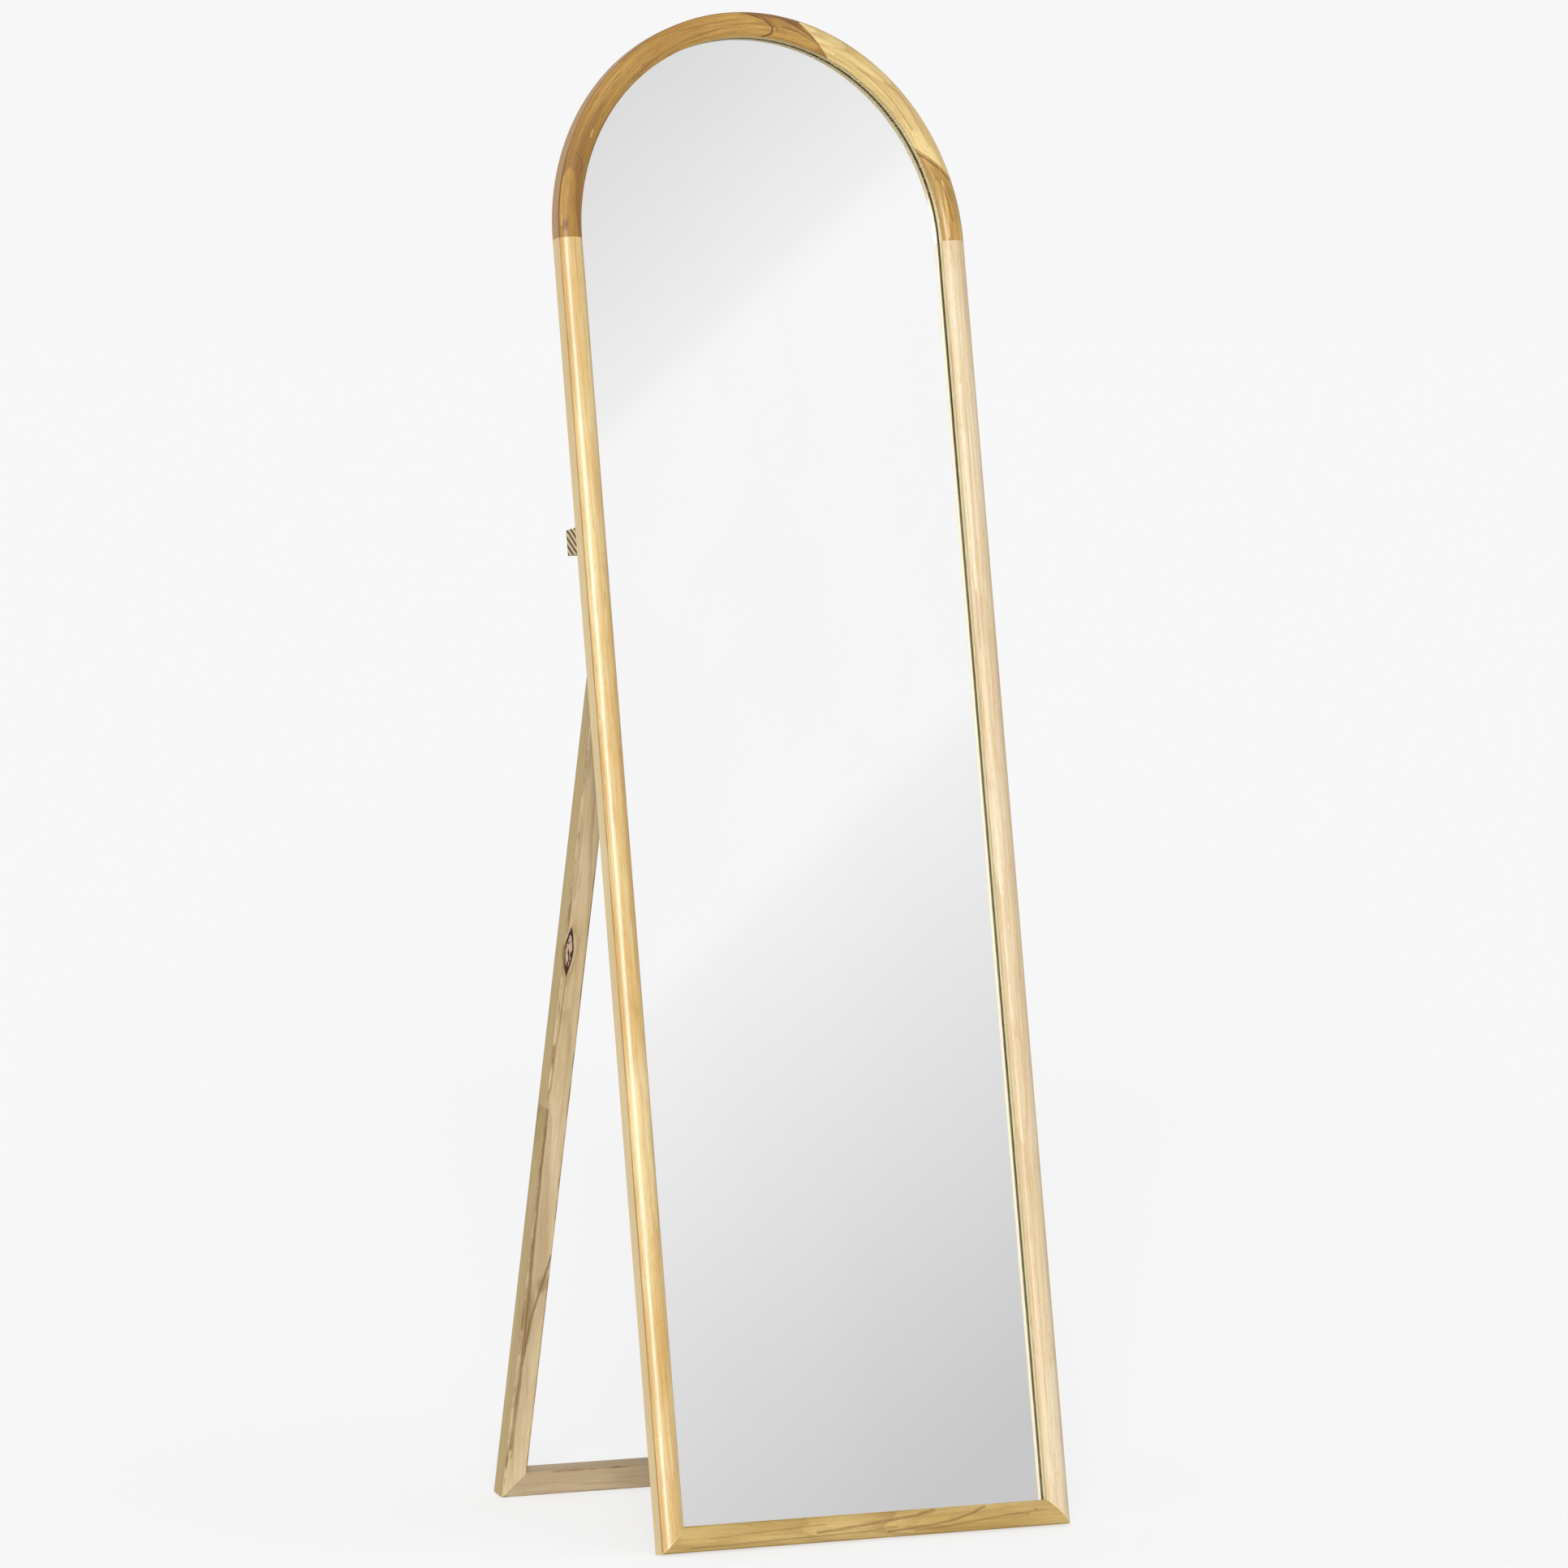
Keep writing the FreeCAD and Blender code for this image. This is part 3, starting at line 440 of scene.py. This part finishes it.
LEFT_ARCH_LINES = (
    arch_line([(-6, 229), (6, 226), (18, 221), (26, 214), (25, 208), (16, 205)], 0.0016, 1.0),
    arch_line([(2, 229), (15, 225), (26, 218), (32, 211)], 0.0010, 0.7),
    arch_line([(26, 228), (44, 222), (60, 212), (78, 197)], 0.0020, 0.8),
    arch_line([(38, 215), (54, 210), (70, 201)], 0.0013, 0.6),
    arch_line([(-230, 60), (-221, 118), (-186, 170), (-120, 196), (-60, 212), (-10, 221)], 0.0012, 0.35),
    arch_line([(-206, 84), (-200, 71), (-207, 56)], 0.0009, 0.8),
    arch_line([(-226, 22), (-227, 12)], 0.0012, -1.0),
    arch_line([(-189, 100), (-186, 106)], 0.0016, -1.0),
)
LEFT_ARCH_STAINS = (
    arch_stain(20, 228, 0.005, 0.026, 0.7),
    arch_stain(52, 220, 0.005, 0.018, 0.65),
    arch_stain(82, 190, 0.006, 0.012, 0.5),
    arch_stain(-225, 12, 0.0040, 0.009, 0.85),
)
RIGHT_ARCH_LINES = (
    arch_line([(177, 94), (197, 79), (216, 62)], 0.0014, 0.9),
    arch_line([(207, 60), (210, 30), (211, 4)], 0.0016, -0.9),
    arch_line([(196, 74), (208, 52), (216, 20)], 0.0011, 0.6),
)
UPPER_ARCH_LINES = (
    arch_line([(96, 188), (140, 160), (178, 112)], 0.0012, 0.45),
    arch_line([(150, 160), (168, 148), (182, 122), (196, 96)], 0.0010, 0.6),
)
RAIL_LINES = (
    ([(0.009, -0.20), (0.0075, -0.12), (0.006, -0.04), (0.0035, 0.03)], 0.0012, 0.45),
    ([(0.001, -0.18), (-0.002, -0.11), (-0.0045, -0.05)], 0.0010, 0.35),
    ([(0.003, -0.06), (0.0, -0.02), (-0.004, 0.025), (-0.007, 0.055), (-0.0115, 0.075)], 0.0022, 0.6),
    ([(0.007, 0.02), (0.004, 0.066), (0.0, 0.096), (-0.005, 0.117), (-0.0105, 0.132)], 0.0019, 0.6),
    ([(0.008, 0.05), (0.006, 0.09), (0.0, 0.148), (-0.003, 0.20)], 0.0015, 0.45),
    ([(-0.004, 0.188), (-0.004, 0.190)], 0.0011, 0.9),
    ([(0.0, 0.178), (0.0, 0.180)], 0.0008, 0.8),
)
LEFT_STILE_LINES = (
    ([(0.0030, 0.292), (0.0028, 0.279)], 0.0008, 0.55),
    ([(0.0060, -0.02), (0.0066, -0.09)], 0.0009, 0.35),
    ([(0.0070, -0.33), (0.0074, -0.342)], 0.0008, 0.5),
)
RIGHT_STILE_LINES = (
    ([(-0.0088, 0.290), (-0.0092, 0.232)], 0.0009, 0.55),
    ([(0.0040, 0.02), (0.0046, -0.10)], 0.0008, 0.3),
)


def dress_frame():
    for node, side, seed, tones, lines, polish, gloss_spread in (
        ("left_stile", -1, 3.1, PALE_WOOD, LEFT_STILE_LINES, 0.62, 0.30),
        ("right_stile", 1, 7.7, CREAM_WOOD, RIGHT_STILE_LINES, 0.10, 0.22),
    ):
        middle = frame_point(side * ARCH_RADIUS, SPRING_HEIGHT - STILE_HALF)
        dress(node, wood(node + "_wood", FRAME_TURN, middle, tones, seed, ring=0.0030,
                         pith=(0.05 * side, 0.10), taper=0.012, contrast=0.45, figure=0.010,
                         moulding=MOULDING, side_tone=WALL_TONE, inner=-side, lines=lines,
                         polish=polish, gloss_spread=gloss_spread,
                         mitre=(STILE_HALF - FACE_WIDTH / 2, side, False)))
    rail_low, rail_high = turned_box("bottom_rail", FRAME_TURN)
    middle = frame_point(0, rail_low.z + FACE_WIDTH / 2)
    dress("bottom_rail", wood("bottom_rail_wood", FRAME_TURN @ GRAIN_ALONG_X, middle, RAIL_WOOD, 1.9,
                              ring=0.0060, pith=(0.01, 0.045), taper=0.05, contrast=0.45, figure=0.030,
                              busy=0.55, lines=RAIL_LINES, moulding=MOULDING, side_tone=WALL_TONE,
                              mitre=(rail_high.x - FACE_WIDTH / 2, 1.0, True)))
    centre = frame_point(0, SPRING_HEIGHT)
    for node, tones, seed, taper, lines, stains, polish in (
        ("arch_left_segment", TAN_WOOD, 5.3, 0.035, LEFT_ARCH_LINES, LEFT_ARCH_STAINS, 0.10),
        ("arch_upper_right_segment", YELLOW_WOOD, 8.2, 0.045, UPPER_ARCH_LINES, (), 0.20),
        ("arch_right_segment", OLIVE_WOOD, 2.6, 0.06, RIGHT_ARCH_LINES, (), 0.24),
    ):
        dress(node, wood(node + "_wood", FRAME_TURN, centre, tones, seed, ring=0.0050,
                         pith=(-0.03, 0.07), taper=taper, contrast=0.55, figure=0.024,
                         arch_radius=ARCH_RADIUS, moulding=MOULDING, side_tone=ARCH_WALL_TONE,
                         lines=lines, stains=stains, polish=polish))


# ---- Wood of the stand and the cross rail ------------------------------------------------------------
leg_low, leg_high = turned_box("stand_left_leg", STAND_TURN)
BAR = ((leg_high.x - leg_low.x) / 2, (leg_high.y - leg_low.y) / 2)
LEG_MIDDLE = (leg_low + leg_high) / 2
KNOT = ((-0.0078, -BAR[1], 0.0855), (0.0056, 0.004, 0.0270))
LEG_STAINS = (
    ((-0.006, -BAR[1], -0.300), (0.008, 0.02, 0.045), 0.5),
    ((0.006, -BAR[1], -0.265), (0.010, 0.02, 0.014), 0.45),
    ((-0.005, -BAR[1], -0.290), (0.017, 0.02, 0.210), 0.30),
)
LEG_LINES = (
    ([(-0.0095, 0.45), (-0.0090, 0.30), (-0.0085, 0.14)], 0.0009, 0.3),
    ([(-0.0075, 0.062), (-0.0090, 0.00), (-0.0105, -0.06)], 0.0012, 0.5),
    ([(0.0120, -0.235), (0.0050, -0.265), (-0.0030, -0.300), (-0.0070, -0.350)], 0.0019, 0.8),
    ([(-0.0115, -0.08), (-0.0100, -0.20), (-0.0080, -0.32), (-0.0095, -0.44)], 0.0024, 0.8),
    ([(-0.0040, -0.30), (-0.0065, -0.36), (-0.0070, -0.45)], 0.0013, 0.6),
)


def dress_stand():
    for side, node, seed, marks in (
        (1, "stand_left_leg", 4.4, {"knot": KNOT, "stains": LEG_STAINS, "lines": LEG_LINES}),
        (-1, "stand_right_leg", 9.5, {}),
    ):
        middle = STAND_TURN @ Vector((side * LEG_MIDDLE.x, LEG_MIDDLE.y, LEG_MIDDLE.z))
        dress(node, wood(node + "_wood", STAND_TURN, middle, GREY_WOOD, seed, ring=0.0042,
                         pith=(-0.02, 0.04), taper=0.022, contrast=0.42, figure=0.022, bar=BAR,
                         side_tone=LEG_SIDE_TONE, polish=0.05, busy=0.4, **marks))
    for node, turn, seed, tones in (
        ("stand_foot_rail", STAND_TURN, 6.1, FOOT_WOOD),
        ("cross_rail", FRAME_TURN, 0.7, GREY_WOOD),
    ):
        low, high = turned_box(node, turn)
        dress(node, wood(node + "_wood", turn @ GRAIN_ALONG_X, turn @ ((low + high) / 2), tones, seed,
                         ring=0.0045, pith=(0.03, 0.03), taper=0.02, contrast=0.3, figure=0.020,
                         bar=BAR, polish=0.05, busy=0.45))
    for node in ("spring_joint_dowels", "stand_corner_dowels"):
        low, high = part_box(node)
        dress(node, wood(node + "_wood", FRAME_TURN, (low + high) / 2, PALE_WOOD, 1.3))


# ---- Glass, board and metal --------------------------------------------------------------------------
SILVER_DEPTH = 0.0001       # how near the glass's back counts as its silvered face
SILVER_BRIGHT = (0.965, 0.968, 0.965, 1.0)
SILVER_DULL = (0.955, 0.960, 0.956, 1.0)
GLASS_CLEAR = (0.982, 0.994, 0.986, 1.0)
GLASS_GREEN = (0.978, 0.991, 0.982, 1.0)
GLASS_IOR = 1.52


def silver(n, place):
    """Colour of the silvering, a little uneven."""
    haze = n.noise(place, (7.0, 7.0, 4.0), detail=3.0)[0]
    return n.mix(n.step(haze, 0.35, 0.7), SILVER_BRIGHT, SILVER_DULL)


def mirror_glass():
    """Clear float glass with a faint green tint. Its own back face is silvered."""
    n = Nodes("float_glass")
    place = n.add("TexCoord").outputs["Object"]
    _, high = turned_box("mirror_glass", FRAME_TURN)
    depth = n.split(n.upright(place, FRAME_TURN))[1]
    silvered = n.math("GREATER_THAN", depth, high.y - SILVER_DEPTH)
    smear = n.noise(place, (9.0, 9.0, 5.0), detail=4.0)[0]
    tint = n.mix(n.step(smear, 0.3, 0.7), GLASS_CLEAR, GLASS_GREEN)
    inputs = {
        "Base Color": n.mix(silvered, tint, silver(n, place)),
        "Metallic": silvered,
        "Roughness": 0.0,
        "Transmission Weight": 1.0,
        "IOR": GLASS_IOR,
    }
    return n.surface(inputs)


def silvering():
    n = Nodes("silvering")
    place = n.add("TexCoord").outputs["Object"]
    return n.surface({"Base Color": silver(n, place), "Metallic": 1.0, "Roughness": 0.0})


def hardboard():
    """Pressed brown fibres, with dark shreds and pale chips."""
    n = Nodes("hardboard")
    place = n.add("TexCoord").outputs["Object"]
    lumps = n.noise(place, (35.0, 35.0, 35.0), detail=4.0)[0]
    shreds = n.noise(place, (900.0, 900.0, 220.0), detail=4.0, roughness=0.7)[0]
    chips = n.noise(place, (260.0, 260.0, 700.0), detail=3.0, roughness=0.7)[0]
    colour = n.mix(n.step(lumps, 0.3, 0.7), tone(146, 112, 74), tone(132, 99, 63))
    colour = n.mix(n.step(shreds, 0.5, 0.72, 0.0, 0.55), colour, tone(96, 68, 42))
    colour = n.mix(n.step(chips, 0.58, 0.74, 0.0, 0.5), colour, tone(176, 145, 104))
    inputs = {"Base Color": colour, "Roughness": n.step(shreds, 0.3, 0.7, 0.62, 0.82)}
    return n.surface(inputs, n.math("ADD", shreds, chips), bump=0.00012)


def metal(name, bright, dull, roughness, brush):
    """A rolled or tumbled metal: marks of frequency `brush` along each axis, and duller patches."""
    n = Nodes(name)
    place = n.add("TexCoord").outputs["Object"]
    marks = n.noise(place, brush, detail=3.0, roughness=0.7)[0]
    patches = n.noise(place, (160.0, 160.0, 160.0), detail=3.0)[0]
    colour = n.mix(n.step(patches, 0.40, 0.70, 0.0, 0.8), bright, dull)
    colour = n.mix(n.step(marks, 0.45, 0.75, 0.0, 0.35), colour, dull)
    rough = n.math("MULTIPLY_ADD", marks, 0.22, n.step(patches, 0.3, 0.7, roughness, roughness + 0.12))
    return n.surface({"Base Color": colour, "Metallic": 1.0, "Roughness": rough}, marks, bump=0.00003)


def dress_glass_and_metal():
    dress("mirror_glass", mirror_glass())
    dress("silvered_backing_film", silvering())
    dress("backing_board", hardboard())
    rolled, tumbled = (60.0, 1800.0, 1800.0), (900.0, 900.0, 900.0)
    brass = metal("rolled_brass", tone(222, 186, 112), tone(158, 122, 66), 0.24, rolled)
    turned_brass = metal("turned_brass", tone(226, 192, 120), tone(150, 116, 62), 0.22, tumbled)
    steel = metal("zinc_plated_steel", tone(200, 202, 206), tone(138, 140, 146), 0.28, tumbled)
    for node, material in (
        ("left_hinge_fixed_leaf", brass), ("right_hinge_fixed_leaf", brass),
        ("left_hinge_moving_leaf", brass), ("right_hinge_moving_leaf", brass),
        ("fixed_leaf_screws", turned_brass), ("moving_leaf_screws", turned_brass),
        ("left_hinge_pin", steel), ("right_hinge_pin", steel), ("cross_rail_screws", steel),
        ("corner_v_nails", steel), ("board_points", steel),
    ):
        dress(node, material)


# ---- Stage, light and camera -------------------------------------------------------------------------
BACKDROP = 0.93             # brightness of the pale surround
FLOOR_SIZE = 160.0
FLOOR_REFLECTANCE = 0.28
FLOOR_GLOW = 0.62           # light that the floor gives by itself, so that shadows on it stay faint
KEY_HEADING = 30.0          # degrees to the left of the glass's front
KEY_HEIGHT = 15.0           # degrees
KEY_WIDTH = 18.0            # degrees that the soft key light fills
KEY_STRENGTH = 3.2
FILL = 0.86                 # brightness of the surround as light, beside BACKDROP as it is seen
CAMERA_PLACE = Vector((-4.0826, -7.3221, 1.2782))
CAMERA_HEADING = 29.23      # degrees, clockwise from +Y seen from above
CAMERA_PITCH = -3.737
CAMERA_ROLL = 0.572
CAMERA_REACH = 400.0
LENS_MM = 193.69
CARD_DISTANCE = 5.0
CARD_WIDTH = 9.0
CARD_HEIGHT = 6.4
CARD_SLANT = -57.4          # degrees; the card's brightness changes in this direction
CARD_RISE = (-0.99, -0.59, 0.754, 0.925)    # from here, to here, from this level, to this level
CARD_FALL = (0.144, 1.0, 0.925, 0.61)
BAND_START = (-0.64, -0.56)
BAND_END = (0.15, 0.07)
BAND_LIFT = 0.054
CARD_TINT = (1.0, 0.984, 0.996)


def sheet(name, width, height):
    """A flat rectangle in its own XY plane, facing +Z."""
    x, y = width / 2, height / 2
    mesh = bpy.data.meshes.new(name)
    mesh.from_pydata([(-x, -y, 0), (x, -y, 0), (x, y, 0), (-x, y, 0)], [], [(0, 1, 2, 3)])
    thing = bpy.data.objects.new(name, mesh)
    bpy.context.scene.collection.objects.link(thing)
    return thing


def heading_vector(heading, height):
    """Unit vector at `heading` degrees clockwise from +Y seen from above, `height` degrees up."""
    heading, height = math.radians(heading), math.radians(height)
    level = math.cos(height)
    return Vector((math.sin(heading) * level, math.cos(heading) * level, math.sin(height)))


def make_floor():
    floor = sheet("floor", FLOOR_SIZE, FLOOR_SIZE)
    n = Nodes("pale_floor")
    n.surface({
        "Base Color": grey(FLOOR_REFLECTANCE),
        "Roughness": 0.9,
        "Specular IOR Level": 0.0,
        "Emission Color": grey(1.0),
        "Emission Strength": FLOOR_GLOW,
    })
    floor.data.materials.append(n.material)


def make_camera():
    forward = heading_vector(CAMERA_HEADING, CAMERA_PITCH)
    level = forward.cross(Vector((0, 0, 1))).normalized()
    upright = level.cross(forward)
    roll = math.radians(CAMERA_ROLL)
    right = level * math.cos(roll) + upright * math.sin(roll)
    up = right.cross(forward)
    data = bpy.data.cameras.new("camera")
    data.lens = LENS_MM
    data.clip_end = CAMERA_REACH
    camera = bpy.data.objects.new("camera", data)
    camera.matrix_world = Matrix((right, up, -forward)).transposed().to_4x4()
    camera.location = CAMERA_PLACE
    bpy.context.scene.collection.objects.link(camera)
    bpy.context.scene.camera = camera


def make_card():
    """A large soft card in front of the mirror, off to the right, for the glass to reflect."""
    low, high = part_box("mirror_glass")
    centre = (low + high) / 2
    facing = FRAME_TURN @ Vector((0, -1, 0))
    bounce = (centre - CAMERA_PLACE).normalized().reflect(facing)
    side = Vector((0, 0, 1)).cross(bounce).normalized()
    card = sheet("reflection_card", CARD_WIDTH, CARD_HEIGHT)
    card.matrix_world = Matrix((side, bounce.cross(side), bounce)).transposed().to_4x4()
    card.location = centre + bounce * CARD_DISTANCE
    n = Nodes("graded_card")
    slant = math.radians(CARD_SLANT)
    along = n.dot(n.add("TexCoord").outputs["Object"], (math.cos(slant), math.sin(slant), 0.0))
    slope = n.math("MINIMUM", n.ramp(along, *CARD_RISE), n.ramp(along, *CARD_FALL))
    band = n.math("MULTIPLY", n.step(along, *BAND_START), n.step(along, *BAND_END))
    level = n.math("MULTIPLY_ADD", band, BAND_LIFT, slope)
    tinted = n.vector("MULTIPLY", n.join(level, level, level), CARD_TINT)
    n.output(n.add("Emission", {"Color": tinted, "Strength": 1.0}))
    card.data.materials.append(n.material)
    card.visible_camera = False
    card.visible_diffuse = False
    card.visible_shadow = False


def make_lights():
    """A pale surround, seen a little brighter than the light it gives, and one soft key light."""
    world = bpy.data.worlds.new("surround")
    world.use_nodes = True
    tree = world.node_tree
    seen = tree.nodes.new("ShaderNodeLightPath").outputs["Is Camera Ray"]
    level = tree.nodes.new("ShaderNodeMapRange")
    tree.links.new(seen, level.inputs["Value"])
    level.inputs["To Min"].default_value = FILL
    level.inputs["To Max"].default_value = BACKDROP
    background = tree.nodes["Background"]
    tree.links.new(level.outputs[0], background.inputs["Strength"])
    background.inputs["Color"].default_value = grey(1.0)
    bpy.context.scene.world = world
    key = bpy.data.lights.new("key", "SUN")
    key.energy = KEY_STRENGTH
    key.angle = math.radians(KEY_WIDTH)
    lamp = bpy.data.objects.new("key", key)
    towards = heading_vector(180 + KEY_HEADING, KEY_HEIGHT)
    lamp.matrix_world = towards.to_track_quat("Z", "Y").to_matrix().to_4x4()
    bpy.context.scene.collection.objects.link(lamp)


dress_frame()
dress_stand()
dress_glass_and_metal()
make_floor()
make_camera()
make_card()
make_lights()
bpy.context.scene.view_settings.view_transform = "Standard"
